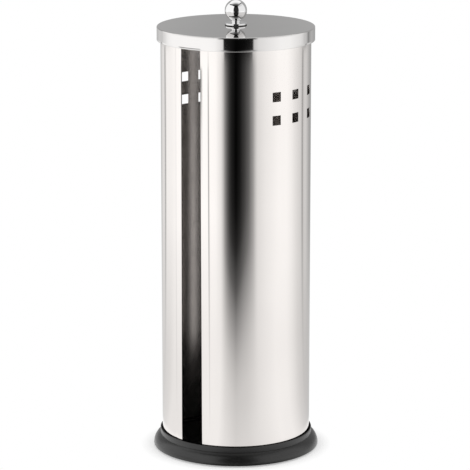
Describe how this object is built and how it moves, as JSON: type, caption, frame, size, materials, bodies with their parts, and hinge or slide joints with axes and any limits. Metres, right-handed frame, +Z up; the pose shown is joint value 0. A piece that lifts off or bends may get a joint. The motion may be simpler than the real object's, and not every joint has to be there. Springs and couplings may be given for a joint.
{
  "type": "toilet roll holder",
  "caption": "Tall free-standing canister for spare toilet rolls, with a dispensing slot, square windows, a flared base and a lift-off lid with a ball knob.",
  "frame": {"origin": "centre of the footprint, on the plane that the rubber feet stand on", "axes": "+Z up along the tube, -Y out through the dispensing slot, +X to the right of a person who faces the slot"},
  "size_m": [0.1544, 0.1544, 0.4223],
  "materials": {
    "stainless": "bright polished stainless sheet",
    "chrome": "mirror chrome plate",
    "zinc_plate": "dull zinc plate",
    "black_plastic": "satin moulded plastic",
    "black_rubber": "matt rubber"
  },
  "bodies": {
    "canister": {"tube": "stainless", "base": "black_plastic", "foot_1": "black_rubber", "foot_2": "black_rubber", "foot_3": "black_rubber", "foot_4": "black_rubber"},
    "lid_with_knob": {"lid": "stainless", "knob": "chrome", "knob_gasket": "black_rubber", "knob_screw": "zinc_plate", "knob_washer": "zinc_plate"}
  },
  "joints": [
    {"name": "lid_lift", "type": "slide", "parent": "canister", "child": "lid_with_knob", "axis": [0, 0, 1], "range_m": [0, 0.2]}
  ]
}
